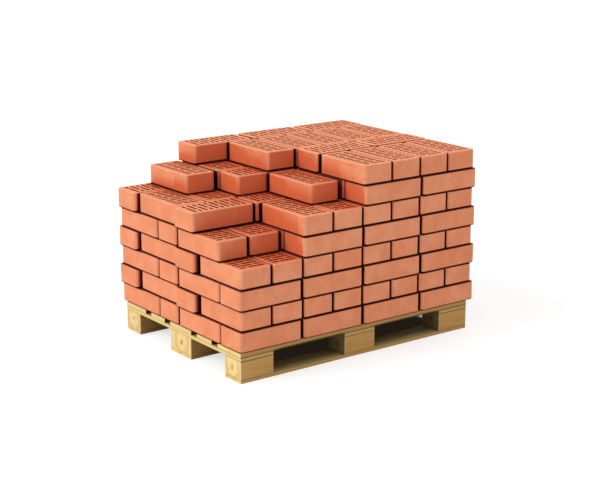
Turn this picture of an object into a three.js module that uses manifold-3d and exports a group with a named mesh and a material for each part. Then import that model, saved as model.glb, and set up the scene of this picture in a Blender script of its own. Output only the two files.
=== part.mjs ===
// Pallet of perforated clay bricks: a nine-block timber pallet with eight courses of
// loose-stacked bricks, the upper ones taken away in steps at one corner.
// Millimetres, +Z up, X along the long side, Y from the front side to the back.
// The origin lies under the middle of the whole load, on the floor.

import * as THREE from 'three';
import { mergeVertices } from 'three/addons/utils/BufferGeometryUtils.js';
import Module from 'manifold-3d';

const wasm = await Module();
wasm.setup();

// ---- Brick ----
const brickLength = 250;
const brickWidth = 120;
const brickHeight = 70;
const brickCornerRadius = 12;      // upright edges
const cornerSteps = 2;

// Perforation: rows of one long and one short slot, changing sides from row to row
const slotRows = 10;
const slotRowPitch = 22;
const slotThickness = 8;
const longSlot = 62;
const shortSlot = 26;
const slotWeb = 7;                 // clay between the two slots of a row

// ---- Bond ----
const columns = 4;                 // bricks side by side along X, counted as stretchers
const courses = 8;
const stretcherJoint = 10;         // between the ends of neighbouring stretchers
const pairJoint = 10;              // between the two headers under one stretcher, odd courses
const headerJoint = 6.9;           // between the headers of an even course
const columnPitch = Math.max(brickLength + stretcherJoint, 2 * (brickWidth + pairJoint));

// A course is four bands of bricks from front to back. gap is the joint in front of a band,
// setback is how far the band's first brick lies behind the load's left end.
const oddBands = [
  { kind: 'stretcher', gap: 0, setback: 9 },
  { kind: 'pair', gap: 4, setback: 9 },
  { kind: 'stretcher', gap: 10, setback: 9 },
  { kind: 'pair', gap: 5, setback: 9 },
];
const evenBands = [
  { kind: 'header', gap: 2, setback: 14 },
  { kind: 'stretcher', gap: 13, setback: 0 },
  { kind: 'header', gap: 2, setback: 14 },
  { kind: 'stretcher', gap: 7, setback: 0 },
];

// Bricks already taken off the front left corner, as [column, band] for a stretcher or a
// whole pair, and [column, band, 0 or 1] for one header of a pair. All count from 0.
const takenAway = {
  5: [[0, 0]],
  6: [[0, 0]],
  7: [[0, 0], [0, 1], [0, 2], [0, 3, 0], [1, 0], [1, 1, 0]],
  8: [[0, 0], [0, 1], [0, 2], [0, 3], [1, 0], [1, 1], [1, 2, 0]],
};

// ---- Inside of a course ----
const jointDepth = 25;             // how deep the open joints run in from the outer faces
const topJointDepth = 8;           // how deep they run down from an uncovered top
const linkBite = 1;                // overlap of a link with the brick that it reaches
const cutOverrun = 1;              // a slot's cutter passes both beds of the brick by this
const widestJoint = brickWidth / 2;   // a wider gap than this is a brick taken away
const besideShare = 0.75;          // a side is closed when its neighbours stand along this much of it
const underShare = 0.8;            // a top is closed when the next course covers this much of it
const coverMargin = 8;             // a slot this near to a brick of the next course is out of sight

// ---- Pallet ----
const palletLength = 996;
const palletWidth = 735;
const palletInset = 9;             // left end of the pallet behind the load's left end
const deckBoardThickness = 15;
const deckBoardWidths = [136, 92, 135, 92, 136];   // front to back
const stringerThickness = 12;
const stringerWidth = 132;         // along X, as long as the blocks under it
const blockHeight = 65;
const blockRowWidths = [93, 132, 93];              // front to back, as wide as the bottom boards
const bottomBoardThickness = 12;

// ---- Finishes ----
const finishes = {
  clay: { color: 0xcd7e5e, roughness: 0.85, metalness: 0 },
  pineDeck: { color: 0xd8c48c, roughness: 0.8, metalness: 0 },
  pineBlock: { color: 0xcdb67c, roughness: 0.8, metalness: 0 },
  pineBoard: { color: 0xd2bd84, roughness: 0.8, metalness: 0 },
};

// ---- Meshes ----
const weldDistance = 1e-4;         // corners closer than this are one corner
const flatness = 0.001;            // faces this close to one plane become one face

// ---- Joining and cutting ----
function toSolid(geometry) {
  const bare = geometry.clone();
  bare.deleteAttribute('normal');
  bare.deleteAttribute('uv');
  const merged = mergeVertices(bare, weldDistance);
  return new wasm.Manifold(new wasm.Mesh({
    numProp: 3,
    vertProperties: new Float32Array(merged.attributes.position.array),
    triVerts: new Uint32Array(merged.index.array),
  }));
}

function toGeometry(solid) {
  const mesh = solid.getMesh();
  const geometry = new THREE.BufferGeometry();
  geometry.setAttribute('position', new THREE.BufferAttribute(mesh.vertProperties, 3));
  geometry.setIndex(new THREE.BufferAttribute(mesh.triVerts, 1));
  geometry.computeVertexNormals();
  return geometry;
}

function joined(solids) {
  return solids.reduce((sum, next) => sum.add(next));
}

// ---- Where the bricks of a course lie ----
function bandDepth(band) {
  return band.kind === 'stretcher' ? brickWidth : brickLength;
}

function startsOfBand(band, column) {
  const columnStart = band.setback + column * columnPitch;
  if (band.kind === 'stretcher') return [columnStart];
  if (band.kind === 'pair') return [columnStart, columnStart + columnPitch / 2];
  const first = band.setback + 2 * column * (brickWidth + headerJoint);
  return [first, first + brickWidth + headerJoint];
}

function isTaken(course, column, band, index) {
  const gone = takenAway[course] ?? [];
  return gone.some(([c, b, i]) => c === column && b === band && (i === undefined || i === index));
}

function bricksOfCourse(course) {
  const bands = course % 2 === 1 ? oddBands : evenBands;
  const bricks = [];
  let front = 0;
  bands.forEach((band, bandIndex) => {
    front += band.gap;
    const back = front + bandDepth(band);
    const sizeX = band.kind === 'stretcher' ? brickLength : brickWidth;
    for (let column = 0; column < columns; column++) {
      startsOfBand(band, column).forEach((left, index) => {
        if (isTaken(course, column, bandIndex, index)) return;
        bricks.push({ left, right: left + sizeX, front, back, lengthwise: band.kind === 'stretcher' });
      });
    }
    front = back;
  });
  return bricks;
}

// ---- What is open to view ----
function overlap(lowA, highA, lowB, highB) {
  return Math.max(0, Math.min(highA, highB) - Math.max(lowA, lowB));
}

// Gap to the bricks on one side of a brick, or null where that side lies open
function gapBeside(brick, bricks, side) {
  const alongX = side === 'left' || side === 'right';
  const length = alongX ? brick.back - brick.front : brick.right - brick.left;
  let covered = 0;
  let widest = 0;
  for (const other of bricks) {
    const gap = {
      left: brick.left - other.right,
      right: other.left - brick.right,
      front: brick.front - other.back,
      back: other.front - brick.back,
    }[side];
    if (gap < 0 || gap > widestJoint) continue;
    const shared = alongX
      ? overlap(brick.front, brick.back, other.front, other.back)
      : overlap(brick.left, brick.right, other.left, other.right);
    if (shared === 0) continue;
    covered += shared;
    widest = Math.max(widest, gap);
  }
  return covered > besideShare * length ? widest : null;
}

// A spot is hidden under a brick of the next course, or under the joint beside it
function isHiddenSpot(x, y, bricksAbove) {
  return bricksAbove.some((above) =>
    x > above.left - coverMargin && x < above.right + coverMargin
    && y > above.front - coverMargin && y < above.back + coverMargin);
}

function isHiddenSlot(slot, bricksAbove) {
  return [slot.left, slot.right].every((x) =>
    [slot.front, slot.back].every((y) => isHiddenSpot(x, y, bricksAbove)));
}

function topIsOpen(brick, bricksAbove) {
  let covered = 0;
  for (const above of bricksAbove) {
    covered += overlap(brick.left, brick.right, above.left, above.right)
      * overlap(brick.front, brick.back, above.front, above.back);
  }
  return covered < underShare * brickLength * brickWidth;
}

// ---- One brick ----
function slotsOfBrick(brick) {
  const slots = [];
  const rowWidth = longSlot + slotWeb + shortSlot;
  const margin = (brickWidth - rowWidth) / 2;
  const firstRow = (brickLength - (slotRows - 1) * slotRowPitch) / 2;
  for (let row = 0; row < slotRows; row++) {
    const along = firstRow + row * slotRowPitch;
    const lengths = row % 2 === 0 ? [longSlot, shortSlot] : [shortSlot, longSlot];
    let across = margin;
    for (const length of lengths) {
      const low = along - slotThickness / 2;
      const high = along + slotThickness / 2;
      slots.push(brick.lengthwise
        ? { left: brick.left + low, right: brick.left + high, front: brick.front + across, back: brick.front + across + length }
        : { left: brick.left + across, right: brick.left + across + length, front: brick.front + low, back: brick.front + high });
      across += length + slotWeb;
    }
  }
  return slots;
}

function rectangle(box) {
  return new THREE.Shape([
    new THREE.Vector2(box.left, box.front),
    new THREE.Vector2(box.right, box.front),
    new THREE.Vector2(box.right, box.back),
    new THREE.Vector2(box.left, box.back),
  ]);
}

// Outline of a brick from above, with the corners that are open to view rounded
function brickOutline(brick, rounded) {
  const r = brickCornerRadius;
  const quarter = Math.PI / 2;
  const corners = [
    { x: brick.left, y: brick.front, sx: 1, sy: 1, start: 2 * quarter, on: rounded.frontLeft },
    { x: brick.right, y: brick.front, sx: -1, sy: 1, start: 3 * quarter, on: rounded.frontRight },
    { x: brick.right, y: brick.back, sx: -1, sy: -1, start: 0, on: rounded.backRight },
    { x: brick.left, y: brick.back, sx: 1, sy: -1, start: quarter, on: rounded.backLeft },
  ];
  const points = corners.flatMap((corner) => {
    if (!corner.on) return [new THREE.Vector2(corner.x, corner.y)];
    const arc = new THREE.EllipseCurve(corner.x + corner.sx * r, corner.y + corner.sy * r, r, r,
      corner.start, corner.start + quarter);
    return arc.getPoints(cornerSteps);
  });
  return new THREE.Shape(points);
}

function extrude(outline, height, base = 0) {
  const geometry = new THREE.ExtrudeGeometry(outline, { depth: height, bevelEnabled: false });
  return toSolid(geometry.translate(0, 0, base));
}

// ---- One course ----
function courseSolid(course) {
  const bricks = bricksOfCourse(course);
  const bricksAbove = course < courses ? bricksOfCourse(course + 1) : [];
  for (const brick of bricks) brick.open = topIsOpen(brick, bricksAbove);
  const solids = [];
  const slotCutters = [];
  for (const brick of bricks) {
    const gaps = {};
    for (const side of ['left', 'right', 'front', 'back']) gaps[side] = gapBeside(brick, bricks, side);
    const sees = (a, b) => brick.open || gaps[a] === null || gaps[b] === null;
    solids.push(extrude(brickOutline(brick, {
      frontLeft: sees('front', 'left'),
      frontRight: sees('front', 'right'),
      backRight: sees('back', 'right'),
      backLeft: sees('back', 'left'),
    }), brickHeight));
    solids.push(linkSolid(brick, gaps, bricks));
    for (const slot of slotsOfBrick(brick)) {
      if (isHiddenSlot(slot, bricksAbove)) continue;
      slotCutters.push(extrude(rectangle(slot), brickHeight + 2 * cutOverrun, -cutOverrun));
    }
  }
  const whole = slotCutters.length > 0 ? joined(solids).subtract(joined(slotCutters)) : joined(solids);
  return whole.asOriginal().simplify(flatness);
}

// Inner block that carries a brick over to its neighbours and stays back from every open face
function linkSolid(brick, gaps, bricks) {
  const reach = (gap) => (gap === null ? -jointDepth : gap + linkBite);
  const box = {
    left: brick.left - reach(gaps.left),
    right: brick.right + reach(gaps.right),
    front: brick.front - reach(gaps.front),
    back: brick.back + reach(gaps.back),
  };
  const meetsOpenTop = bricks.some((other) => other.open
    && overlap(box.left, box.right, other.left, other.right) > 0
    && overlap(box.front, box.back, other.front, other.back) > 0);
  return extrude(rectangle(box), brickHeight - (meetsOpenTop ? topJointDepth : 0));
}

// ---- Pallet ----
// Low edges of strips that are spread over a length, with equal gaps between them
function spread(widths, length) {
  const gap = (length - widths.reduce((sum, width) => sum + width, 0)) / (widths.length - 1);
  let low = 0;
  return widths.map((width) => {
    const start = low;
    low += width + gap;
    return start;
  });
}

function woodPiece(name, size, low, finish) {
  const mesh = new THREE.Mesh(
    new THREE.BoxGeometry(size.x, size.y, size.z),
    new THREE.MeshStandardMaterial(finish),
  );
  mesh.name = name;
  mesh.position.set(low.x + size.x / 2, low.y + size.y / 2, low.z + size.z / 2);
  return mesh;
}

function makePallet() {
  const pallet = new THREE.Group();
  const blockBase = bottomBoardThickness;
  const stringerBase = blockBase + blockHeight;
  const deckBase = stringerBase + stringerThickness;
  const acrossStarts = spread([stringerWidth, stringerWidth, stringerWidth], palletLength);
  const rowStarts = spread(blockRowWidths, palletWidth);
  const rowNames = ['front', 'middle', 'back'];
  const columnNames = ['left', 'centre', 'right'];

  rowStarts.forEach((y, row) => {
    const width = blockRowWidths[row];
    pallet.add(woodPiece(`bottom_board_${rowNames[row]}`,
      new THREE.Vector3(palletLength, width, bottomBoardThickness),
      new THREE.Vector3(0, y, 0), finishes.pineBoard));
    acrossStarts.forEach((x, column) => {
      pallet.add(woodPiece(`block_${rowNames[row]}_${columnNames[column]}`,
        new THREE.Vector3(stringerWidth, width, blockHeight),
        new THREE.Vector3(x, y, blockBase), finishes.pineBlock));
    });
  });
  acrossStarts.forEach((x, column) => {
    pallet.add(woodPiece(`stringer_${columnNames[column]}`,
      new THREE.Vector3(stringerWidth, palletWidth, stringerThickness),
      new THREE.Vector3(x, 0, stringerBase), finishes.pineBoard));
  });
  spread(deckBoardWidths, palletWidth).forEach((y, index) => {
    pallet.add(woodPiece(`deck_board_${index + 1}`,
      new THREE.Vector3(palletLength, deckBoardWidths[index], deckBoardThickness),
      new THREE.Vector3(0, y, deckBase), finishes.pineDeck));
  });
  return { pallet, height: deckBase + deckBoardThickness };
}

// ---- The whole load ----
function makeLoad() {
  const load = new THREE.Group();
  const { pallet, height } = makePallet();
  pallet.position.x = palletInset;
  load.add(pallet);

  for (let course = 1; course <= courses; course++) {
    const mesh = new THREE.Mesh(
      toGeometry(courseSolid(course)),
      new THREE.MeshStandardMaterial(finishes.clay),
    );
    mesh.name = `brick_course_${course}`;
    mesh.position.z = height + (course - 1) * brickHeight;
    load.add(mesh);
  }
  return load;
}

const load = makeLoad();
const bounds = new THREE.Box3().setFromObject(load);
load.position.set(-(bounds.min.x + bounds.max.x) / 2, -(bounds.min.y + bounds.max.y) / 2, 0);

const group = new THREE.Group();
group.add(load);

export default group;
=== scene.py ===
import math
import bpy
import numpy as np
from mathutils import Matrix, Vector


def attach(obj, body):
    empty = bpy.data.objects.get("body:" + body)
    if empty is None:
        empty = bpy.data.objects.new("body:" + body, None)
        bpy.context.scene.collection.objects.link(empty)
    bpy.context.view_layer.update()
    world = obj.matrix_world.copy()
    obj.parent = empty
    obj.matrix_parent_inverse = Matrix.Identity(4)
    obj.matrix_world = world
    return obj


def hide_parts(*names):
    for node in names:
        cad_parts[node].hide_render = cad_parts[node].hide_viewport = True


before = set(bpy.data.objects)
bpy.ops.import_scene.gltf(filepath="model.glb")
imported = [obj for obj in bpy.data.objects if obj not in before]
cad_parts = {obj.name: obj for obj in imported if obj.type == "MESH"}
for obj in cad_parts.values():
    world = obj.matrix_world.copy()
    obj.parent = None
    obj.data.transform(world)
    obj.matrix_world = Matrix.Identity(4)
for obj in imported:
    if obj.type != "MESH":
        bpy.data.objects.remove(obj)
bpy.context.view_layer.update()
print("frame loaded")

mm = 0.001  # sizes are written in millimetres, Blender works in metres
rng = np.random.default_rng(7)


# Camera

camera = {
    "place": (-2966.0, -4018.0, 1630.0),
    "heading": 53.19,     # degrees from +X towards +Y
    "dip": 14.65,         # degrees below the horizon
    "lens": 83.86,        # mm
    "sensor": 36,         # mm wide
}


def addCamera(s):
    data = bpy.data.cameras.new("camera")
    data.sensor_width, data.sensor_fit, data.lens = s["sensor"], "HORIZONTAL", s["lens"]
    heading, dip = math.radians(s["heading"]), math.radians(s["dip"])
    look = Vector((math.cos(heading) * math.cos(dip), math.sin(heading) * math.cos(dip), -math.sin(dip)))
    holder = bpy.data.objects.new("camera", data)
    holder.location = Vector(s["place"]) * mm
    holder.rotation_euler = look.to_track_quat("-Z", "Y").to_euler()
    bpy.context.collection.objects.link(holder)
    bpy.context.scene.camera = holder


addCamera(camera)


# Materials

def colour(hexCode):
    # sRGB hex to linear: c / 12.92 below 0.04045, else ((c + 0.055) / 1.055) ** 2.4
    c = np.array([int(hexCode[i:i + 2], 16) for i in (0, 2, 4)]) / 255
    linear = np.where(c <= 0.04045, c / 12.92, ((c + 0.055) / 1.055) ** 2.4)
    return (*linear.tolist(), 1.0)


def node(material, kind, settings=None, links=None):
    # adds one node: settings name its properties or sockets, links join (node, output) to its inputs
    n = material.node_tree.nodes.new(kind)
    for key, value in (settings or {}).items():
        if isinstance(key, str) and hasattr(n, key):
            setattr(n, key, value)
        else:
            n.inputs[key].default_value = value
    for key, (source, output) in (links or {}).items():
        material.node_tree.links.new(source.outputs[output], n.inputs[key])
    return n


def attributeNodes(material, names):
    # one node for each of the words in names
    return [node(material, "ShaderNodeAttribute", {"attribute_name": name}) for name in names.split()]


def tinted(material, source, darkest, lightest):
    # how much lighter or darker a noise makes a surface; nearly all of a noise lies between 0.3 and 0.7
    reach = {"From Min": 0.3, "From Max": 0.7, "To Min": darkest, "To Max": lightest}
    return node(material, "ShaderNodeMapRange", reach, {"Value": source})


def newMaterial(name):
    material = bpy.data.materials.new(name)
    material.use_nodes = True
    material.node_tree.nodes.clear()
    return material


def ramp(material, source, stops):
    # a colour ramp fed by (node, output), with stops of (position, hex colour)
    n = node(material, "ShaderNodeValToRGB", links={"Fac": source})
    elements = n.color_ramp.elements
    while len(elements) < len(stops):
        elements.new(0.5)
    for element, (position, hexCode) in zip(elements, stops):
        element.position, element.color = position, colour(hexCode)
    return n


def finishShader(material, s, colourOf, heightOf):
    # the matt shader that both clay and pine end in, with its fine relief
    strength, deep = s["relief"]
    bump = node(material, "ShaderNodeBump", {"Strength": strength, "Distance": deep * mm},
                {"Height": heightOf})
    shader = node(material, "ShaderNodeBsdfPrincipled",
                  {"Roughness": s["roughness"], "IOR": s["ior"], "Specular IOR Level": s["specular"]},
                  {"Base Color": colourOf, "Normal": (bump, 0)})
    node(material, "ShaderNodeOutputMaterial", links={"Surface": (shader, 0)})


clayFinish = {
    "kiln": [(0.3, "E68B62"), (0.5, "ED946B"), (0.7, "F19F77")],   # harder fired, open orange, drier
    "wornAndHighlit": "F8BA98",        # rubbed edges, and painted highlight along them
    "recessShade": "DC6C41",       # painted shade: deeper, redder clay where bricks hide the sky and floor
    "cut": "FFA37A",         # open beds: the paler skin the wire left, and painted light on the tops
    "speck": "9A4A2E",       # iron specks
    "ember": "8E2A10",       # painted shade reddened by light from clay, at the mouths of joints and slots
    "shadeDark": "180201",        # painted shade deep in joints and slots, and on undersides
    "streak": (2.6, 60),     # mm across and along the die lines of the sides
    "drag": (3.0, 60),       # mm across and along the wire marks of the beds
    "patch": 70,             # mm across a kiln patch
    "ownTone": 0.07,         # how far along the kiln colours a brick lies from the next one
    "grain": 2.7,            # mm across a patch of coarse sand
    "grit": 1.6,             # mm, drawn coarser than real sand so that it shows
    "lineTint": (0.92, 1.06),    # darkest and lightest of the lines, then of the grains
    "grainTint": (0.89, 1.11),
    "specks": (0.68, 0.76, 0.5),   # grit's noise where specks start and are whole, and how much they show
    "recessShadeFrom": (0.14, 0.42),   # share of the surroundings hidden, from no painted shade to full
    "emberUntil": 0.6,           # painted shade at which clay has the ember colour, and from which the near-black is added
    "shadeDarkFrom": 0.35,
    "gritHeight": 0.35,          # height of the grit against that of the lines
    "relief": (0.6, 0.5),        # strength, and mm
    "roughness": 0.88, "ior": 1.5, "specular": 0.25,
}


def makeClay(s):
    # Common fired brick clay, pressed through a die, cut by wire and left unglazed: matt, dry and
    # slightly cloudy, with upright die lines on the sides and dragged grains on the cut beds.
    m = newMaterial("firedClay")
    place, tone, bed, wear, gloom, shelter = attributeNodes(m, "place tone bed wear gloom shelter")
    upright = node(m, "ShaderNodeMapping", {"Scale": (1, 1, s["streak"][0] / s["streak"][1])},
                   {"Vector": (place, "Vector")})
    dieLines = node(m, "ShaderNodeTexNoise",
                    {"Scale": 1 / (s["streak"][0] * mm), "Detail": 3, "Roughness": 0.6},
                    {"Vector": (upright, 0)})
    lengthwise = node(m, "ShaderNodeMapping", {"Scale": (s["drag"][0] / s["drag"][1], 1, 1)},
                      {"Vector": (place, "Vector")})
    dragLines = node(m, "ShaderNodeTexNoise",
                     {"Scale": 1 / (s["drag"][0] * mm), "Detail": 3, "Roughness": 0.6},
                     {"Vector": (lengthwise, 0)})
    lines = node(m, "ShaderNodeMix", {"data_type": "FLOAT"},
                 {0: (bed, "Fac"), 2: (dieLines, 0), 3: (dragLines, 0)})
    patches = node(m, "ShaderNodeTexNoise", {"Scale": 1 / (s["patch"] * mm), "Detail": 4, "Roughness": 0.6},
                   {"Vector": (place, "Vector")})
    grit = node(m, "ShaderNodeTexNoise", {"Scale": 1 / (s["grit"] * mm), "Detail": 2},
                {"Vector": (place, "Vector")})
    shade = node(m, "ShaderNodeMath", {"operation": "MULTIPLY_ADD", 1: s["ownTone"]},
                 {0: (tone, "Fac"), 2: (patches, 0)})
    body = ramp(m, (shade, 0), s["kiln"])
    # paler beds: the wire's skin, and painted light on the tops
    cut = node(m, "ShaderNodeMix", {"data_type": "RGBA", 7: colour(s["cut"])},
               {0: (bed, "Fac"), 6: (body, 0)})
    # painted shade: where bricks hide the sky and floor the clay turns deeper and redder
    shadeShare = node(m, "ShaderNodeMapRange", {"From Min": s["recessShadeFrom"][0], "From Max": s["recessShadeFrom"][1]},
                    {"Value": (shelter, "Fac")})
    inside = node(m, "ShaderNodeMix", {"data_type": "RGBA", 7: colour(s["recessShade"])},
                  {0: (shadeShare, 0), 6: (cut, 2)})
    # pale edges: rubbed clay and painted highlight
    rubbedAndHighlit = node(m, "ShaderNodeMix", {"data_type": "RGBA", 7: colour(s["wornAndHighlit"])},
                  {0: (wear, "Fac"), 6: (inside, 2)})
    lineTint = tinted(m, (lines, 0), *s["lineTint"])
    grain = node(m, "ShaderNodeTexNoise", {"Scale": 1 / (s["grain"] * mm), "Detail": 1},
                 {"Vector": (place, "Vector")})
    grainTint = tinted(m, (grain, 0), *s["grainTint"])
    tint = node(m, "ShaderNodeMath", {"operation": "MULTIPLY"}, {0: (lineTint, 0), 1: (grainTint, 0)})
    lined = node(m, "ShaderNodeVectorMath", {"operation": "SCALE"}, {0: (rubbedAndHighlit, 2), "Scale": (tint, 0)})
    starts, whole, shown = s["specks"]
    speckMask = node(m, "ShaderNodeMapRange", {"From Min": starts, "From Max": whole, "To Max": shown},
                     {"Value": (grit, 0)})
    specked = node(m, "ShaderNodeMix", {"data_type": "RGBA", 7: colour(s["speck"])},
                   {0: (speckMask, 0), 6: (lined, 0)})
    # painted shade: reddened at the mouths of joints and slots, near-black deeper in
    atMouth = node(m, "ShaderNodeMapRange", {"From Max": s["emberUntil"]}, {"Value": (gloom, "Fac")})
    reddened = node(m, "ShaderNodeMix", {"data_type": "RGBA", 7: colour(s["ember"])},
                    {0: (atMouth, 0), 6: (specked, 2)})
    within = node(m, "ShaderNodeMapRange", {"From Min": s["shadeDarkFrom"]}, {"Value": (gloom, "Fac")})
    shadeDarkened = node(m, "ShaderNodeMix", {"data_type": "RGBA", 7: colour(s["shadeDark"])},
                  {0: (within, 0), 6: (reddened, 2)})
    relief = node(m, "ShaderNodeMath", {"operation": "MULTIPLY_ADD", 1: s["gritHeight"]},
                  {0: (grit, 0), 2: (lines, 0)})
    finishShader(m, s, (shadeDarkened, 2), (relief, 0))
    return m


pineFinish = {
    "early": "E9D294",       # pale spring wood
    "middle": "E2C580",
    "late": "CC9C52",        # summer wood
    "heart": "A8682C",       # heart of the log
    "halo": "D9A95C",        # resin round the heart, and a rainy year further out
    "clean": "ECD89E",       # pale wood between them
    "edge": "F7E8BC",        # pale edges: splinters, and painted highlight
    "sideShadeTint": (0.72, 0.55, 0.42),  # painted shade: what is left of red, green and blue on faces that look along +-Y
    "shadeDark": "281806",        # painted shade under the load
    "ring": 7.0,             # mm between growth rings
    "year": (0.0, 0.6, 0.88, 1.0),  # where in a ring early, middle, late and again early wood stand
    "bends": (18, 0.15),     # bends of the rings to a metre across, and that share of them along
    "bend": 30,              # mm that they shift the rings by
    # mm from the heart of the log: heart, resin, clean wood, pale wood, rainy year, pale wood
    "endRings": (3, 8, 14, 30, 40, 50),
    "mottle": 14,            # mm across a blotch on the sawn ends
    "unevenness": 30,        # mm that blotches shift the rings of the ends by
    "fibre": (0.8, 60),      # mm across and along the fibres
    "fibreTint": (0.91, 1.05),
    "ownTone": 0.05,         # how much lighter or darker a board may be than the next one
    "ringsOnSides": 0.35,    # how clear the rings are on the long faces
    "ringsOnEnds": 0.7,
    "relief": (0.5, 0.4),    # strength, and mm
    "roughness": 0.72, "ior": 1.5, "specular": 0.3,
}


def makePine(s):
    # Cheap pine, band sawn and left raw: dry and pale, with fibres along the boards. place.x runs along
    # the grain and place.yz starts at the heart of the log, so rings are lines on the sides and circles
    # on the ends.
    m = newMaterial("sawnPine")
    place, tone, gloom, weather, wear, end = attributeNodes(m, "place tone gloom weather wear end")
    slow = node(m, "ShaderNodeMapping", {"Scale": (s["bends"][1], 1, 1)}, {"Vector": (place, "Vector")})
    wander = node(m, "ShaderNodeTexNoise", {"Scale": s["bends"][0], "Detail": 2}, {"Vector": (slow, 0)})
    across = node(m, "ShaderNodeMapping", {"Scale": (0, 1, 1)}, {"Vector": (place, "Vector")})
    radius = node(m, "ShaderNodeVectorMath", {"operation": "LENGTH"}, {0: (across, 0)})
    bent = node(m, "ShaderNodeMath", {"operation": "MULTIPLY_ADD", 1: s["bend"] * mm},
                {0: (wander, 0), 2: (radius, "Value")})
    drift = node(m, "ShaderNodeMath", {"operation": "ADD", 1: -s["bend"] * mm}, {0: (bent, 0)})
    count = node(m, "ShaderNodeMath", {"operation": "MULTIPLY", 1: 1 / (s["ring"] * mm)}, {0: (bent, 0)})
    ring = node(m, "ShaderNodeMath", {"operation": "FRACT"}, {0: (count, 0)})
    years = ramp(m, (ring, 0),
                 list(zip(s["year"], [s[key] for key in ("early", "middle", "late", "early")])))
    clear = node(m, "ShaderNodeMapRange", {"To Min": s["ringsOnSides"]}, {"Value": (end, "Fac")})
    rings = node(m, "ShaderNodeMix", {"data_type": "RGBA", 6: colour(s["middle"])},
                 {0: (clear, 0), 7: (years, 0)})
    mottle = node(m, "ShaderNodeTexNoise", {"Scale": 1 / (s["mottle"] * mm), "Detail": 3, "Roughness": 0.6},
                  {"Vector": (slow, 0)})
    uneven = node(m, "ShaderNodeMath", {"operation": "MULTIPLY_ADD", 1: s["unevenness"] * mm},
                  {0: (mottle, 0), 2: (drift, 0)})
    outward = node(m, "ShaderNodeMath", {"operation": "DIVIDE", 1: s["endRings"][-1] * mm},
                   {0: (uneven, 0)})
    stops = [r / s["endRings"][-1] for r in s["endRings"]]
    woods = [s[key] for key in ("heart", "halo", "clean", "early", "halo", "early")]
    section = ramp(m, (outward, 0), list(zip(stops, woods)))
    sawn = node(m, "ShaderNodeMath", {"operation": "MULTIPLY", 1: s["ringsOnEnds"]}, {0: (end, "Fac")})
    heart = node(m, "ShaderNodeMix", {"data_type": "RGBA"}, {0: (sawn, 0), 6: (rings, 2), 7: (section, 0)})
    fibreRoom = node(m, "ShaderNodeMapping", {"Scale": (s["fibre"][0] / s["fibre"][1], 1, 1)},
                     {"Vector": (place, "Vector")})
    fibre = node(m, "ShaderNodeTexNoise", {"Scale": 1 / (s["fibre"][0] * mm), "Detail": 2},
                 {"Vector": (fibreRoom, 0)})
    fibreTint = tinted(m, (fibre, 0), *s["fibreTint"])
    toneTint = node(m, "ShaderNodeMath", {"operation": "MULTIPLY_ADD", 1: s["ownTone"], 2: 1.0},
                    {0: (tone, "Fac")})
    tint = node(m, "ShaderNodeMath", {"operation": "MULTIPLY"}, {0: (fibreTint, 0), 1: (toneTint, 0)})
    wood = node(m, "ShaderNodeVectorMath", {"operation": "SCALE"}, {0: (heart, 2), "Scale": (tint, 0)})
    # painted shade: faces that look along +-Y turn browner and darker
    sideShaded = node(m, "ShaderNodeVectorMath", {"operation": "MULTIPLY", 1: s["sideShadeTint"]}, {0: (wood, 0)})
    sideShadeTint = node(m, "ShaderNodeMix", {"data_type": "RGBA"},
                {0: (weather, "Fac"), 6: (wood, 0), 7: (sideShaded, 0)})
    # pale upright edges: splinters and painted highlight
    edged = node(m, "ShaderNodeMix", {"data_type": "RGBA", 7: colour(s["edge"])},
                 {0: (wear, "Fac"), 6: (sideShadeTint, 2)})
    # painted shade under the load
    shadeDarkened = node(m, "ShaderNodeMix", {"data_type": "RGBA", 7: colour(s["shadeDark"])},
                  {0: (gloom, "Fac"), 6: (edged, 2)})
    finishShader(m, s, (shadeDarkened, 2), (fibre, 0))
    return m


clay = makeClay(clayFinish)
pine = makePine(pineFinish)
print("materials made")


# Shared mesh making

def addPiece(name, points, faces, smooth, attributes, material, replaced):
    # points in mm in the row frame, faces of four corners, smooth says which faces are shaded round
    mesh = bpy.data.meshes.new(name)
    mesh.vertices.add(len(points))
    mesh.vertices.foreach_set("co", (points * mm).astype(np.float32).ravel())
    mesh.loops.add(faces.size)
    mesh.loops.foreach_set("vertex_index", faces.astype(np.int32).ravel())
    mesh.polygons.add(len(faces))
    mesh.polygons.foreach_set("loop_start", np.arange(0, faces.size, 4, dtype=np.int32))
    mesh.polygons.foreach_set("use_smooth", smooth)
    mesh.update(calc_edges=True)
    for key, values in attributes.items():
        vector = values.ndim == 2
        layer = mesh.attributes.new(key, "FLOAT_VECTOR" if vector else "FLOAT", "POINT")
        layer.data.foreach_set("vector" if vector else "value", values.astype(np.float32).ravel())
    mesh.materials.append(material)
    piece = bpy.data.objects.new(name, mesh)
    bpy.context.collection.objects.link(piece)
    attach(piece, "root")
    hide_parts(replaced)
    return piece


# Bricks

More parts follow.
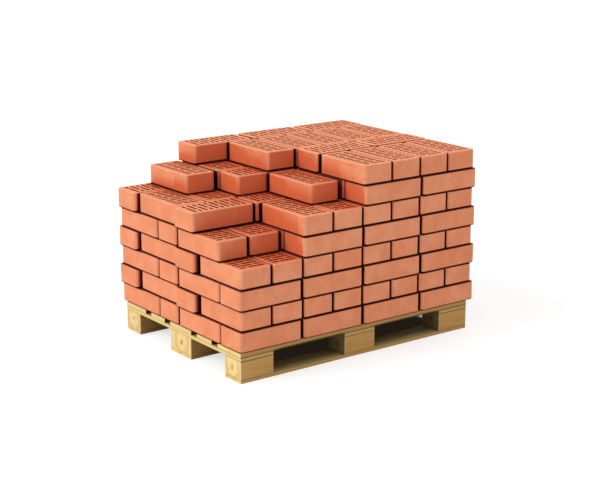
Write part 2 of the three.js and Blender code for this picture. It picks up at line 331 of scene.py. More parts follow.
brick = {
    "size": (250, 120, 70),
    "corner": 12.5,          # radius of the upright corners
    "topEase": 2.8,          # radius of the upper edge
    "baseEase": 3.0,
    "baseLift": {"odd": (2.1, 1.0), "even": (1.2, 2.9)},   # mm the lower bed draws up towards +-X and +-Y
    "guard": 1.5,            # keeps the shading of the edges off the flat side
    "slotRows": 10,
    "rowPitch": 22,
    "slotWidth": 10,
    "slotEnds": ((-47.5, 14.5), (21.5, 47.5)),  # across the brick, mirrored in every other row
    "slotRound": 2.5,
    "slotLip": 0.4,          # mm of clay at the mouth of a slot over which the painted shade of its walls sets in
    "plainLines": (4, 3),    # lines of the bed's grid between the corners, where there are no slots
    "easeSteps": 3,          # rings round an eased edge
    "nookReach": 20,         # mm, how far a face looks out for a neighbour that paints shade on it
    "slotShade": 0.66,        # painted shade on the walls of a slot where they start
    "cornerShow": 0.3,       # rounded corners show this much less of a joint's painted shade
    # pale edges: wear and painted highlight
    "rimWearAndHighlight": 0.2,
    "cornerWearAndHighlight": 0.15,
    # for the rings of points from the upper edge to the lower edge, two more than both edges have
    "ringWearAndHighlight": (0.25, 0.5, 0.2, 0, 0, 0, 0, 0),
    "ringShade": (0, 0, 0, 0, 0, 0.8, 1, 1),            # painted shade, always there
    "ringShut": (0, 0.1, 0.35, 1, 1, 1, 1, 1),         # how much more painted shade a neighbour close by brings
    "ringCovered": (0.9, 0.7, 0.4, 0, 0, 0, 0, 0),     # how much more painted shade the course above brings
}


def brickSurface(s, slotted, lift):
    # One brick, standing on z = 0 with its middle over the origin. Its bed is a grid whose lines follow
    # slots and corners. At a corner, a square of the radius is pressed into a quarter disc: each point
    # takes its larger distance from the inner corner as its radius. The rim of the bed is carried round
    # the upper edge, down the side and round the lower edge.
    halfX, halfY, height = s["size"][0] / 2, s["size"][1] / 2, s["size"][2]
    r, bow = s["corner"], np.tan(np.radians([15, 30, 45]))
    rows = (np.arange(s["slotRows"]) - (s["slotRows"] - 1) / 2) * s["rowPitch"]
    w, cut = s["slotWidth"] / 2, s["slotRound"]
    ends = np.array(s["slotEnds"]).ravel()
    inner = ends + np.tile([cut, -cut], 2)
    if slotted:
        across = rows[:, None] + np.array([-w, cut - w, w - cut, w])
        xIn = np.concatenate([[-halfX + r], across.ravel(), [halfX - r]])
        yIn = np.unique(np.round(np.concatenate([ends, -ends, inner, -inner, [0]]), 4))
    else:
        countX, countY = s["plainLines"]
        xIn, yIn = np.linspace(r - halfX, halfX - r, countX), np.linspace(r - halfY, halfY - r, countY)

    def lines(inside, half):
        # lines beyond the corner centre lie at the tangents of 15, 30 and 45 degrees
        return np.concatenate([-(half - r) - (r * bow)[::-1], inside, (half - r) + r * bow])

    xLines, yLines = lines(xIn, halfX), lines(yIn, halfY)
    nx, ny = len(xLines), len(yLines)
    x, y = np.meshgrid(xLines, yLines, indexing="ij")
    solid = np.ones((nx - 1, ny - 1), bool)
    if slotted:
        tiny = 0.01  # mm, less than lines lie apart
        for i, row in enumerate(rows):
            flip = 1 if i % 2 == 0 else -1
            a, b = np.searchsorted(xLines, [row - w - tiny, row + w - tiny])
            for low, high in s["slotEnds"]:
                low, high = sorted((low * flip, high * flip))
                c, d = np.searchsorted(yLines, [low - tiny, high - tiny])
                solid[a:b, c:d] = False
                nip = cut * (1 - math.sqrt(0.5))  # how far a rounded slot corner moves in
                for p, q, u, v in ((a, c, 1, 1), (b, c, -1, 1), (b, d, -1, -1), (a, d, 1, -1)):
                    x[p, q] += u * nip
                    y[p, q] += v * nip

    def plan(ease):
        # the bed with its rim one ease inside the outline
        a = np.maximum(np.abs(x) - (halfX - r), 0) * (r - ease) / r
        b = np.maximum(np.abs(y) - (halfY - r), 0) * (r - ease) / r
        reach = np.hypot(a, b)
        press = np.divide(np.maximum(a, b), reach, out=np.ones_like(reach), where=reach > 0)
        px = np.sign(x) * (np.minimum(np.abs(x), halfX - r) + a * press)
        py = np.sign(y) * (np.minimum(np.abs(y), halfY - r) + b * press)
        return px, py, np.maximum(a, b) / (r - ease)

    topX, topY, _ = plan(s["topEase"])
    baseX, baseY, out = plan(s["baseEase"])
    toSides, toEnds = lift
    drawn = np.where(np.abs(x) - halfX > np.abs(y) - halfY, toEnds, toSides)
    top = np.stack([topX, topY, np.full_like(topX, height)], -1).reshape(-1, 3)
    base = np.stack([baseX, baseY, drawn * out ** 2], -1).reshape(-1, 3)
    index = np.arange(nx * ny).reshape(nx, ny)
    cells = np.stack([index[:-1, :-1], index[1:, :-1], index[1:, 1:], index[:-1, 1:]], -1)[solid]

    # every grid edge between clay and slot gets a wall, by way of a lip, down to the lower bed
    starts, stops = [], []
    for grid, own, along in ((index, solid, True), (index.T, solid.T, False)):
        i, j = np.nonzero(own[1:] != own[:-1])
        near, far = grid[i + 1, j], grid[i + 1, j + 1]
        clayFirst = own[i, j] == along
        starts.append(np.where(clayFirst, near, far))
        stops.append(np.where(clayFirst, far, near))
    a, b = np.concatenate(starts), np.concatenate(stops)
    mouth, back = np.unique(a, return_inverse=True)
    lip = top[mouth] - np.array([0, 0, s["slotLip"]])
    lipA, lipB = 2 * nx * ny + back, 2 * nx * ny + np.searchsorted(mouth, b)
    walls = [np.stack([b, a, lipA, lipB], -1), np.stack([lipB, lipA, a + nx * ny, b + nx * ny], -1)]

    rim = np.concatenate([index[:-1, 0], index[-1, :-1], index[:0:-1, -1], index[0, :0:-1]])
    inside = [np.clip(x, r - halfX, halfX - r), np.clip(y, r - halfY, halfY - r)]
    centre = np.stack(inside, -1).reshape(-1, 2)[rim]
    away = (top[rim, :2] - centre) / (r - s["topEase"])
    turn = np.linspace(0, np.pi / 2, s["easeSteps"] + 1)[1:]
    e, g = s["topEase"], s["baseEase"]
    inset = np.concatenate([e * (1 - np.sin(turn)), [0, 0], g * (1 - np.sin(turn[::-1]))])
    drop = np.concatenate([height - e * (1 - np.cos(turn)), [height - e - s["guard"], g + s["guard"]],
                           g * (1 - np.cos(turn[::-1]))])
    rimLift = toSides + (toEnds - toSides) * away[:, 0] ** 2
    level = drop[:, None] + (np.arange(len(drop)) > len(turn))[:, None] * rimLift
    rings = centre[None] + away[None] * (r - inset)[:, None, None]
    side = np.concatenate([rings, level[..., None]], -1)
    count = len(rim)
    first = 2 * nx * ny + len(lip)
    order = np.concatenate([rim[None], first + np.arange(side.shape[0] * count).reshape(-1, count),
                            (rim + nx * ny)[None]])
    upper, lower = order[:-1], order[1:]
    sides = np.stack([upper, lower, np.roll(lower, -1, 1), np.roll(upper, -1, 1)], -1).reshape(-1, 4)

    points = np.concatenate([top, base, lip, side.reshape(-1, 3)])
    faces = np.concatenate([cells, cells[:, ::-1] + nx * ny, *walls, sides])
    smooth = np.arange(len(faces)) >= len(faces) - len(sides)
    flat = np.zeros(first)
    corner = np.abs(away).min(1) * math.sqrt(2)  # 1 in the middle of an upright corner
    # pale edges: wear and painted highlight along the upper edge and the upright corners
    wear = np.maximum(np.array(s["ringWearAndHighlight"])[:, None], s["cornerWearAndHighlight"] * corner)
    wear = np.concatenate([flat, wear.ravel()])
    wear[rim] = s["rimWearAndHighlight"]
    # painted shade: fixed on undersides, slot walls and the lower edge; neighbours and the course above add
    # more
    fixedShade = [np.zeros(nx * ny), np.ones(nx * ny), np.full(len(lip), s["slotShade"]),
             np.repeat(s["ringShade"], count)]
    covered = [np.ones(nx * ny), np.zeros(nx * ny + len(lip)), np.repeat(s["ringCovered"], count)]
    outward = np.concatenate([np.zeros((first, 2)), np.tile(away, (len(side), 1))])
    flush = 1 - s["cornerShow"] * np.concatenate([flat, np.tile(corner, len(side))])
    seen = np.abs(points[:, :2] + s["nookReach"] * outward) - np.array([halfX, halfY])
    free = np.linalg.norm(np.maximum(seen, 0), axis=1) + 1e-6   # mm from there back to the brick itself
    return {
        "points": points, "faces": faces, "smooth": smooth,
        "bed": (np.arange(len(points)) < first).astype(float), "wear": wear,
        "fixedShade": np.concatenate(fixedShade), "shut": np.concatenate([flat, np.repeat(s["ringShut"], count)]),
        "covered": np.concatenate(covered), "outward": outward, "flush": flush, "free": free,
    }


stack = {
    "corner": (-519.5, -382.0),     # front left corner of the load
    "firstBed": 104, "courses": 8, "columns": 4,
    "stretcherPitch": 260, "headerPitch": 126.9, "pairPitch": 130,
    "odd": [("stretcher", 0, 8), ("pair", 124, 8), ("stretcher", 384, 8), ("pair", 509, 8)],
    "even": [("header", 1, 17), ("stretcher", 265, 1), ("header", 387, 16), ("stretcher", 644, 1)],
    "takenAway": {                  # [column, band] or [column, band, which of the pair]
        5: [(0, 0)], 6: [(0, 0)],
        7: [(0, 0), (0, 1), (0, 2), (0, 3, 0), (1, 0), (1, 1, 0)],
        8: [(0, 0), (0, 1), (0, 2), (0, 3), (1, 0), (1, 1), (1, 2, 0)],
    },
    "nudged": {                     # mm along X that single bricks were laid off, by the same keys
        7: {(1, 1, 1): -9.5, (0, 3, 1): -4, (1, 3, 1): 5, (2, 3, 0): -4},
        8: {(1, 3, 0): -5},
    },
    "inner": {                      # the same inside the lower courses: no joint runs straight through
        "odd": {(1, 1, 1): 5, (2, 1, 0): -3.5, (2, 1, 1): 5, (3, 1, 0): -3.5},
        "even": {(2, 1, 0): -5.5, (3, 1, 0): -9},
    },
    "innerCourses": 6,
    "slip": 0.4,                    # mm that a brick strays from its place
    "twist": 0.12,                  # degrees that it turns
    "short": 0.4,                   # mm that its height varies by
    "bow": 0.3,                     # mm that its sides bow by
    "bowSpans": (160, 90),          # mm of half a wave along the brick, and up its sides
    "ownTone": 0.6,                 # spread of the tones of single bricks
    "patternShift": 5,              # metres, so that no two bricks show the same piece of the pattern
    "jointReach": 15,               # mm, a neighbour this near makes a joint in painted shade
    "nook": (0.75, 1.0, 0.8),       # painted shade: where a neighbour standing off starts and ends to darken, and how much
    "foot": (0.8, 7),               # painted shadow at the foot of an upper brick, and mm over which it fades
    "under": 1,                     # mm inside an upper brick's outline from which a bed is wholly in painted shade
    "onWood": (0.5, 10),            # share of the painted underside shade that bricks on the deck keep, and up to which height
    "openShare": 0.9,               # beds covered by less than this are cut with slots
}


def courseLayout(s, course):
    # rows of (middle x, middle y, 1 where the brick lies across), in mm from the load's corner
    bricks = []
    length, width, _ = brick["size"]
    pitch, header, pair = s["stretcherPitch"], s["headerPitch"], s["pairPitch"]
    gone = s["takenAway"].get(course, [])
    parity = "odd" if course % 2 else "even"
    nudged = s["inner"][parity] if course <= s["innerCourses"] else s["nudged"].get(course, {})
    for band, (kind, front, setback) in enumerate(s[parity]):
        for column in range(s["columns"]):
            for which in range(1 if kind == "stretcher" else 2):
                if (column, band) in gone or (column, band, which) in gone:
                    continue
                steps = {"stretcher": column * pitch, "pair": column * pitch + which * pair,
                         "header": (2 * column + which) * header}
                left = setback + nudged.get((column, band, which), 0) + steps[kind]
                if kind == "stretcher":
                    bricks.append((left + length / 2, front + width / 2, 0))
                else:
                    bricks.append((left + width / 2, front + length / 2, 1))
    return np.array(bricks, float)


halves = np.array(brick["size"][:2]) / 2
loadSize = -2 * np.array(stack["corner"])


def coverOf(lower, upper):
    # share of each lower brick's bed that the upper course covers
    def spans(rows):
        half = np.where(rows[:, 2:] == 1, halves[::-1], halves)
        return rows[:, :2] - half, rows[:, :2] + half
    lowA, highA = spans(lower)
    lowB, highB = spans(upper)
    shared = np.minimum(highA[:, None], highB[None]) - np.maximum(lowA[:, None], lowB[None])
    return np.clip(shared, 0, None).prod(-1).sum(1) / (4 * halves.prod())


turnedOrSlotted = [(turned, slotted) for turned in (False, True) for slotted in (False, True)]
unitBricks = {(parity, turned, slotted): brickSurface(brick, slotted, lift if turned else lift[::-1])
              for parity, lift in brick["baseLift"].items() for turned, slotted in turnedOrSlotted}


def gapTo(x, y, rows):
    # distance in plan from a point to the nearest brick of a course, negative inside it
    gap = np.full(x.shape, 1e3)  # beyond any reach
    for middleX, middleY, turned in rows:
        halfX, halfY = halves[::-1] if turned else halves
        beyondX, beyondY = np.abs(x - middleX) - halfX, np.abs(y - middleY) - halfY
        outside = np.hypot(np.maximum(beyondX, 0), np.maximum(beyondY, 0))
        gap = np.minimum(gap, outside + np.minimum(np.maximum(beyondX, beyondY), 0))
    return gap


# the share it gives paints shade into the clay
def shelterOf(s, x, y, z, outX, outY):
    # Share of the sky and floor that bricks hide from a point. A height map of the load is sampled at
    # growing distances along rays in plan; the steepest rise is the horizon of that ray. A bed counts it
    # from level to straight up, at a power that favours low walls. A side counts it from straight down
    # to straight up, by the squared cosine of the rise, and rays weigh by how squarely they leave it.
    # Rays to the back weigh more, and more still from a side that looks to -X. There the share is also
    # stretched about a pivot, so that it starts later and grows faster; for the other sides it is capped.
    side, lit = np.hypot(outX, outY) > 0.5, np.maximum(-outX, 0)
    fromBack = s["fromBack"] + s["litFromBack"] * lit
    total, weights = np.zeros(x.shape, np.float32), np.zeros(x.shape, np.float32) + 1e-6
    for angle in np.arange(s["rays"]) * 2 * np.pi / s["rays"]:
        dx, dy = np.cos(angle), np.sin(angle)
        weight = np.where(side, np.maximum(outX * dx + outY * dy, 0), 1) * (1 + fromBack * dy)
        horizon = np.full(x.shape, -np.pi / 2, np.float32)
        for distance in s["reaches"]:
            i = np.clip((x + distance * dx + s["margin"]) / s["cell"], 0, loadTop.shape[0] - 1).astype(int)
            j = np.clip((y + distance * dy + s["margin"]) / s["cell"], 0, loadTop.shape[1] - 1).astype(int)
            height = loadTop[i, j]
            rise = np.where(height > 0, np.arctan2(height - z - s["slack"], distance), -np.pi / 2)
            horizon = np.maximum(horizon, rise)
        squarely = 0.5 + (horizon + np.sin(2 * horizon) / 2) / np.pi
        share = np.where(side, squarely, (np.maximum(horizon, 0) * 2 / np.pi) ** s["lowWalls"])
        total += weight * share
        weights += weight
    hidden = total / weights
    onSide = np.clip(hidden + lit * (hidden - s["litPivot"]), 0, s["unlitMost"] + lit)
    faced = np.stack([x + s["relief"] * outX, y + s["relief"] * outY])
    within = ((faced > 0) & (faced < loadSize.reshape(2, 1, 1))).all(0)  # outer faces look past the outline
    return np.where(side, onSide, hidden) * within


def placeBricks(s, rows, course, above, unit, base):
    # copies of one unit brick: turned, strayed, bowed by a half wave along each side, moved into place
    n, v = len(rows), len(unit["points"])
    angle = rows[:, 2] * np.pi / 2 + np.radians(rng.uniform(-1, 1, n) * s["twist"])
    stray = rng.uniform(-1, 1, (n, 2)) * s["slip"]
    points = np.repeat(unit["points"][None], n, 0)
    phase = rng.uniform(0, 2 * np.pi, (n, 2, 1))
    spanX, spanZ = s["bowSpans"]
    alongX = s["bow"] * np.sin(points[:, :, 0] * np.pi / spanX + phase[:, 0])
    points[:, :, 1] += alongX * points[:, :, 1] / halves[1]
    upZ = s["bow"] * np.sin(points[:, :, 2] * np.pi / spanZ + phase[:, 1])
    points[:, :, 0] += upZ * points[:, :, 0] / halves[0]
    points[:, :, 2] *= 1 - rng.uniform(0, 1, (n, 1)) * s["short"] / brick["size"][2]
    local = unit["points"][None] * mm + rng.uniform(-s["patternShift"], s["patternShift"], (n, 1, 3))
    c, q = np.cos(angle)[:, None], np.sin(angle)[:, None]
    x = points[:, :, 0] * c - points[:, :, 1] * q + (rows[:, 0] + stray[:, 0] + s["corner"][0])[:, None]
    y = points[:, :, 0] * q + points[:, :, 1] * c + (rows[:, 1] + stray[:, 1] + s["corner"][1])[:, None]
    placed = np.stack([x, y, points[:, :, 2] + base], -1).reshape(-1, 3)
    placed[:, :2] = np.clip(placed[:, :2], s["corner"], -np.array(s["corner"]))  # none strays past the load
    outX = unit["outward"][:, 0] * c - unit["outward"][:, 1] * q
    outY = unit["outward"][:, 0] * q + unit["outward"][:, 1] * c
    planX, planY = x - s["corner"][0], y - s["corner"][1]
    # painted shade: joints, nooks between bricks, and the foot of the course above
    held = gapTo(planX + s["jointReach"] * outX, planY + s["jointReach"] * outY, course) < 0
    gap = gapTo(planX + brick["nookReach"] * outX, planY + brick["nookReach"] * outY, course)
    start, end, most = s["nook"]
    nook = np.clip((1 - gap / unit["free"] - start) / (end - start), 0, 1) * most
    onWood, footHeight = s["onWood"]
    lowest = (base == s["firstBed"]) & (unit["points"][:, 2] < footHeight)
    beside = np.maximum(held * unit["flush"], nook) * unit["shut"] * np.hypot(outX, outY)
    gloom = np.maximum(unit["fixedShade"] * np.where(lowest, onWood, 1), beside)
    if above is not None:
        gap = gapTo(planX, planY, above)
        dark, fade = s["foot"]
        foot = np.where(gap < -s["under"], 1, dark * np.exp(-np.maximum(gap, 0) / fade))
        gloom = np.maximum(gloom, foot * unit["covered"])
    shelter = shelterOf(shade, planX, planY, points[:, :, 2] + base, outX, outY)
    faces = (unit["faces"][None] + (np.arange(n) * v)[:, None, None]).reshape(-1, 4)
    return {
        "points": placed, "faces": faces, "smooth": np.tile(unit["smooth"], n),
        "place": local.reshape(-1, 3), "tone": np.repeat(rng.normal(0, s["ownTone"], n), v),
        "bed": np.tile(unit["bed"], n), "wear": np.tile(unit["wear"], n),
        "gloom": gloom.ravel(), "shelter": shelter.ravel(),
    }


def joinParts(parts):
    # several part meshes as one, with face corners counted on
    starts = np.cumsum([0] + [len(p["points"]) for p in parts[:-1]])
    joined = {key: np.concatenate([p[key] for p in parts]) for key in parts[0] if key != "faces"}
    joined["faces"] = np.concatenate([p["faces"] + start for p, start in zip(parts, starts)])
    return joined


def dropLoose(part):
    # leaves out points that no face uses, such as those inside a slot
    used, faces = np.unique(part["faces"], return_inverse=True)
    count = len(part["points"])
    kept = {key: values[used] if len(values) == count else values for key, values in part.items()}
    kept["faces"] = faces.reshape(-1, 4)
    return kept


for key in unitBricks:
    smooth = unitBricks[key].pop("smooth")
    unitBricks[key] = {**dropLoose(unitBricks[key]), "smooth": smooth}

layouts = {course: courseLayout(stack, course) for course in range(1, stack["courses"] + 1)}

# settings of the painted shade that follows the sky and floor hidden by the load
shade = {
    "cell": 8, "margin": 40,        # mm, one cell of the height map and the free rim round it
    "closed": 5,                    # mm, joints up to twice this wide are closed in the map
    "rays": 16, "reaches": (15, 28, 45, 70, 105, 150, 220, 320),   # mm along each ray
    "slack": 1,                     # mm, a rise lower than this hides nothing
    "lowWalls": 0.4,                # power on the rise that a bed sees; the lower, the more low walls hide
    "fromBack": 0.7,                # how much more rays to +Y weigh
    "litFromBack": 0.28,            # and by how much more again from sides looking to -X
    "litPivot": 0.47,               # share about which that of those sides is stretched
    "unlitMost": 0.37,              # cap of the other sides
    "relief": 30,                   # mm, how far a face looks out to find whether it is an outer one
}
cells = [np.arange(math.ceil((size + 2 * shade["margin"]) / shade["cell"])) for size in loadSize]
mapX, mapY = [(cell + 0.5) * shade["cell"] - shade["margin"] for cell in cells]
loadTop = np.zeros((len(mapX), len(mapY)))
for course, rows in layouts.items():
    gap = gapTo(*np.meshgrid(mapX, mapY, indexing="ij"), rows)
    loadTop = np.where(gap < shade["closed"], stack["firstBed"] + course * brick["size"][2], loadTop)
loadTop[[0, -1]] = loadTop[:, [0, -1]] = 0

for course, rows in layouts.items():
    above = layouts.get(course + 1)
    cover = coverOf(rows, above) if above is not None else np.zeros(len(rows))
    base = stack["firstBed"] + (course - 1) * brick["size"][2]
    parity = "odd" if course % 2 else "even"
    isOpen = cover < stack["openShare"]
    groups = [(rows[(rows[:, 2] == turned) & (isOpen == slotted)], unitBricks[parity, turned, slotted])
              for turned, slotted in turnedOrSlotted]
    placed = [placeBricks(stack, group, rows, above, unit, base) for group, unit in groups if len(group)]
    merged = joinParts(placed)
    attributes = {key: merged[key] for key in ("place", "tone", "bed", "wear", "gloom", "shelter")}
    addPiece(f"brickCourse{course}", merged["points"], merged["faces"], merged["smooth"], attributes,
             clay, f"brick_course_{course}")
print("bricks stacked", [len(rows) for rows in layouts.values()])


# Pallet

pallet = {
    "length": 996, "width": 735, "inset": 9,
    "deckWidths": (136, 92, 135, 92, 136), "deck": (89, 104),    # low and high z
    "stringerWidth": 132, "stringer": (77, 89),
    "rowWidths": (93, 132, 93), "block": (12, 77),
    "bottom": (0, 12),
    "ease": 1.5, "blockEase": 2.2,
    "gridLines": (25, 3),          # lines of a face's grid along and across the grain, between the edges
    "warp": 0.5, "warpWave": 400,  # mm, how much the long faces wave, and over which length
    "patternShift": 3,             # metres, so that no two boards show the same piece of the pattern
    "pith": {                      # mm to the heart of the log: to each side, and how far below or beside
        "block": 6, "deck": (40, 30, 70), "lower": (30, 30, 60),
    },
    "splintersAndHighlight": 1.6,              # wear and painted highlight of the upright edges
    # painted shade under the load, in shares
    "depth": 150,                  # mm under the load in which it gets dark
    "endDark": 0.82,               # faces that look along the pallet
    "sideDark": 0.47,              # faces that look across it
    "slitDark": 0.95,              # faces between two deck boards
    "levelDark": (0.74, 3),        # level faces, and mm from the outline over which they get dark
    "seamDark": (0.12, 0.35, 0.65),     # edges: at the ends, low on the long sides, high on them
    "edgeShade": (0.95, 0.15, 0.5),      # painted shade on the deck's edge over a pocket: foot and rest; elsewhere: foot
    "underBricks": (0.35, 6),      # painted shade along the top of the deck's edge, and mm over which it fades
}


def boardSurface(low, high, ease, grain, warp, pith):
    # A sawn board as a box with eased edges. Six grids cover the box; each point is pulled back to the
    # box that lies one ease inside and pushed out again by the ease along the way it came. Points that
    # two grids share become one. A slow wave along the grain bends the long faces.
    low, high = np.array(low, float), np.array(high, float)
    half, middle = (high - low) / 2, (high + low) / 2
    bow = ease * np.tan(np.radians([0, 22.5, 45]))
    lines = []
    for axis in range(3):
        inside = np.linspace(ease - half[axis], half[axis] - ease, pallet["gridLines"][axis != grain])
        edge = half[axis] - ease + bow[1:]
        lines.append(np.concatenate([-edge[::-1], inside, edge]))
    grids, faces, start = [], [], 0
    for axis in range(3):
        u, v = (axis + 1) % 3, (axis + 2) % 3
        gu, gv = np.meshgrid(lines[u], lines[v], indexing="ij")
        for sign in (-1, 1):
            grid = np.empty(gu.shape + (3,))
            grid[..., axis], grid[..., u], grid[..., v] = sign * half[axis], gu, gv
            index = start + np.arange(gu.size).reshape(gu.shape)
            corners = [index[:-1, :-1], index[1:, :-1], index[1:, 1:], index[:-1, 1:]]
            quad = np.stack(corners, -1).reshape(-1, 4)
            grids.append(grid.reshape(-1, 3))
            faces.append(quad if sign > 0 else quad[:, ::-1])
            start += gu.size
    points, faces = np.concatenate(grids), np.concatenate(faces)
    kept = np.clip(points, ease - half, half - ease)
    away = points - kept
    away /= np.linalg.norm(away, axis=1, keepdims=True)
    points, first, back = np.unique(np.round(kept + ease * away, 4), axis=0, return_index=True,
                                    return_inverse=True)
    faces, away = back.reshape(-1)[faces], away[first]
    local = np.roll(points, -grain, axis=1) - np.array([0, *pith])
    phase = rng.uniform(0, 2 * np.pi, 4)
    along = points[:, grain] * 2 * np.pi / pallet["warpWave"]
    for i, axis in enumerate(axis for axis in range(3) if axis != grain):
        squeeze = 0.5 * warp * (1 + np.sin(along + phase[i])) / half[axis]
        points[:, axis] *= 1 - squeeze
    return points + middle, faces, local * mm, away


def darkUnderLoad(s, points, away):
    # How much painted shade each point has: every way a face looks has its own depth under the load,
    # measured from the pallet's outline, and its share is the square of the normal's part that way.
    x, y, z = points.T
    shut = {0: 1 - np.exp(-np.where(away[:, 0] < 0, x, s["length"] - x) / s["depth"]),
            1: 1 - np.exp(-np.where(away[:, 1] < 0, y, s["width"] - y) / s["depth"])}
    slit = (z > s["stringer"][1]) & (y > s["ease"] * 2) & (y < s["width"] - s["ease"] * 2)
    inward = np.minimum(np.minimum(x, s["length"] - x), np.minimum(y, s["width"] - y))
    most, fade = s["levelDark"]
    level = most * (1 - np.exp(-np.maximum(inward, 0) / fade))
    across = np.where(slit, s["slitDark"], s["sideDark"] * shut[1])
    dark = away[:, 0] ** 2 * s["endDark"] * shut[0] + away[:, 1] ** 2 * across + away[:, 2] ** 2 * level
    groove = (z > s["bottom"][1] / 2) & (z < s["deck"][1] - s["ease"] * 2)
    atEnds, low, high = s["seamDark"]
    deep = np.where(z > s["block"][1] - s["blockEase"], high, low)
    seam = groove * 2 * np.abs(away[:, 2]) * (atEnds * np.abs(away[:, 0]) + deep * np.abs(away[:, 1]))
    overPocket = x % ((s["length"] - s["stringerWidth"]) / 2) > s["stringerWidth"] + 1
    inDeck = z > s["stringer"][1]
    arris = inDeck & (z < s["stringer"][1] + s["ease"] * 1.5)
    pocket, above, block = s["edgeShade"]
    edgeShade = np.where(overPocket, pocket * arris + above * inDeck, block * arris) * np.abs(away[:, 1])
    most, fade = s["underBricks"]
    underBricks = most * np.exp((z - s["deck"][1]) / fade) * inDeck * away[:, 1] ** 2
    return np.maximum.reduce([dark, seam, edgeShade, underBricks])


def addBoard(name, low, high, grain, pith, replaced):
    # low and high corner from the pallet's own corner, the axis of the grain, and the heart of the log
    ease = pallet["blockEase"] if name.startswith("block") else pallet["ease"]
    points, faces, place, away = boardSurface(low, high, ease, grain, pallet["warp"], pith)
    place[:, 0] += rng.uniform(-pallet["patternShift"], pallet["patternShift"])
    # faces that look along +-Y get painted shade, upright edges wear and painted highlight
    attributes = {"place": place, "tone": np.full(len(points), rng.uniform(-1, 1)),
                  "gloom": darkUnderLoad(pallet, points, away), "weather": away[:, 1] ** 2,
                  "wear": pallet["splintersAndHighlight"] * np.abs(away[:, 0] * away[:, 1]), "end": away[:, grain] ** 2}
    points = points + np.array([stack["corner"][0] + pallet["inset"], stack["corner"][1], 0])
    return addPiece(name, points, faces, np.ones(len(faces), bool), attributes, pine, replaced)


def spread(widths, length):
    # low edges of strips with equal gaps between them
    gap = (length - sum(widths)) / (len(widths) - 1)
    return [sum(widths[:i]) + gap * i for i in range(len(widths))]


def buildPallet(s):
    # rows run along X from front to back and columns along Y from left to right
    wide, aside = s["stringerWidth"], s["pith"]["block"]
    columns = list(zip(("Left", "Centre", "Right"), spread([wide] * 3, s["length"])))
    lowAside, *lowBelow = s["pith"]["lower"]
    deckAside, *deckBelow = s["pith"]["deck"]
    rows = zip(("Front", "Middle", "Back"), spread(s["rowWidths"], s["width"]), s["rowWidths"])
    bottoms, blocks, stringers, decks = s["bottom"], s["block"], s["stringer"], s["deck"]
    for rowName, y, deep in rows:
        pith = rng.uniform(-lowAside, lowAside), -rng.uniform(*lowBelow)
        addBoard(f"bottomBoard{rowName}", (0, y, bottoms[0]), (s["length"], y + deep, bottoms[1]), 0,
                 pith, f"bottom_board_{rowName.lower()}")
        for columnName, x in columns:
            pith = rng.uniform(-aside, aside, 2)
            addBoard(f"block{rowName}{columnName}", (x, y, blocks[0]), (x + wide, y + deep, blocks[1]), 0,
                     pith, f"block_{rowName.lower()}_{columnName.lower()}")
    for columnName, x in columns:
        pith = -rng.uniform(*lowBelow), rng.uniform(-lowAside, lowAside)
        addBoard(f"stringer{columnName}", (x, 0, stringers[0]), (x + wide, s["width"], stringers[1]), 1,
                 pith, f"stringer_{columnName.lower()}")
    for i, (y, deep) in enumerate(zip(spread(s["deckWidths"], s["width"]), s["deckWidths"])):
        pith = rng.uniform(-deckAside, deckAside), -rng.uniform(*deckBelow)
        addBoard(f"deckBoard{i + 1}", (0, y, decks[0]), (s["length"], y + deep, decks[1]), 0,
                 pith, f"deck_board_{i + 1}")


buildPallet(pallet)
print("pallet built")


# Floor and light

studio = {
    "floor": "F2F2F2",
    "floorSeen": 0.5,         # how strongly the seen floor shows light and shadow
    "floorGlow": 0.66,        # lifts the seen floor to white, but not under the load
    "underLoad": ((170, 60), (936, 675), 45),   # mm, corners of the painted shadow from the pallet's corner, and fade
    "floorShadow": "201912",    # painted shadow on the floor under the load
    "floorHalf": 40,          # metres from its middle to its edges
    "world": 0.68,
    "key": (0.46, (-0.75, 0.25, 0.65), 30),   # strength, direction it comes from, softness in degrees
}


def whenSeen(material, unseen, seen):
    # shows one shader to the camera, and in mirrors and glass, and the other to all other light
    path = node(material, "ShaderNodeLightPath")
    some = node(material, "ShaderNodeMath", {"operation": "MAXIMUM"},
                {0: (path, "Is Camera Ray"), 1: (path, "Is Glossy Ray")})
    either = node(material, "ShaderNodeMath", {"operation": "MAXIMUM"},
                  {0: (some, 0), 1: (path, "Is Transmission Ray")})
    return node(material, "ShaderNodeMixShader", links={0: (either, 0), 1: unseen, 2: seen})


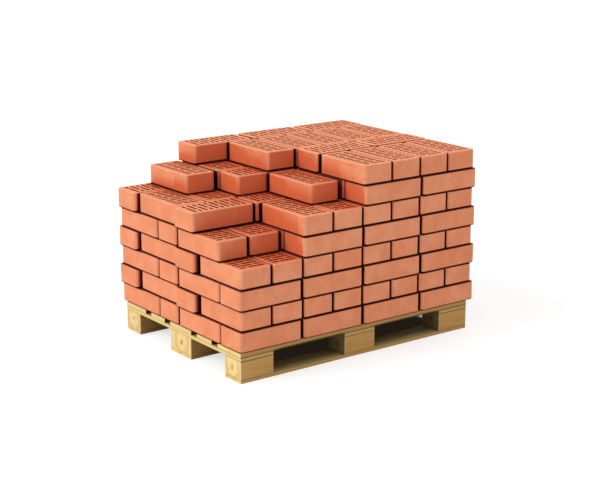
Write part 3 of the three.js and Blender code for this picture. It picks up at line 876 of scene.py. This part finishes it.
def makeStudio(s):
    world = bpy.data.worlds.new("studio")
    world.use_nodes = True
    world.node_tree.nodes.clear()
    dim = node(world, "ShaderNodeBackground", {"Strength": s["world"]})
    white = node(world, "ShaderNodeBackground", {"Strength": 1.0})
    dim.inputs["Color"].default_value = white.inputs["Color"].default_value = (1, 1, 1, 1)
    node(world, "ShaderNodeOutputWorld", links={"Surface": (whenSeen(world, (dim, 0), (white, 0)), 0)})
    bpy.context.scene.world = world

    m = newMaterial("paleFloor")
    low, high, soft = s["underLoad"]
    origin = (stack["corner"][0] + pallet["inset"], stack["corner"][1])
    middle = [((a + b) / 2 + c) * mm for a, b, c in zip(low, high, origin)]
    half = [(b - a) / 2 * mm for a, b in zip(low, high)]
    where = node(m, "ShaderNodeTexCoord")
    fromMiddle = node(m, "ShaderNodeVectorMath", {"operation": "SUBTRACT", 1: (*middle, 0)},
                      {0: (where, "Object")})
    folded = node(m, "ShaderNodeVectorMath", {"operation": "ABSOLUTE"}, {0: (fromMiddle, 0)})
    beyond = node(m, "ShaderNodeVectorMath", {"operation": "SUBTRACT", 1: (*half, 0)}, {0: (folded, 0)})
    outside = node(m, "ShaderNodeVectorMath", {"operation": "MAXIMUM", 1: (0, 0, 0)}, {0: (beyond, 0)})
    distance = node(m, "ShaderNodeVectorMath", {"operation": "LENGTH"}, {0: (outside, 0)})
    bright = node(m, "ShaderNodeMapRange", {"interpolation_type": "SMOOTHSTEP", "From Max": soft * mm},
                  {"Value": (distance, "Value")})
    plain = node(m, "ShaderNodeBsdfDiffuse", {"Color": colour(s["floor"])})
    seen, glowing = (s["floorSeen"],) * 3 + (1,), (s["floorGlow"],) * 3 + (1,)
    # painted shadow: under the load the seen floor turns dark
    shown = node(m, "ShaderNodeMix", {"data_type": "RGBA", 6: colour(s["floorShadow"]), 7: seen},
                 {0: (bright, 0)})
    added = node(m, "ShaderNodeMix", {"data_type": "RGBA", 6: colour(s["floorShadow"]), 7: glowing},
                 {0: (bright, 0)})
    pale = node(m, "ShaderNodeBsdfDiffuse", links={"Color": (shown, 2)})
    glow = node(m, "ShaderNodeEmission", links={"Color": (added, 2)})
    lifted = node(m, "ShaderNodeAddShader", links={0: (pale, 0), 1: (glow, 0)})
    node(m, "ShaderNodeOutputMaterial", links={"Surface": (whenSeen(m, (plain, 0), (lifted, 0)), 0)})
    mesh = bpy.data.meshes.new("floor")
    far = s["floorHalf"]
    mesh.from_pydata([(-far, -far, 0), (far, -far, 0), (far, far, 0), (-far, far, 0)], [], [(0, 1, 2, 3)])
    mesh.materials.append(m)
    floor = bpy.data.objects.new("floor", mesh)
    bpy.context.collection.objects.link(floor)

    strength, source, softness = s["key"]
    lamp = bpy.data.lights.new("key", "SUN")
    lamp.energy, lamp.angle = strength * math.pi, math.radians(softness)
    key = bpy.data.objects.new("key", lamp)
    key.rotation_euler = Vector(source).to_track_quat("Z", "Y").to_euler()
    bpy.context.collection.objects.link(key)


makeStudio(studio)
bpy.context.scene.view_settings.view_transform = "Standard"
print("studio lit")
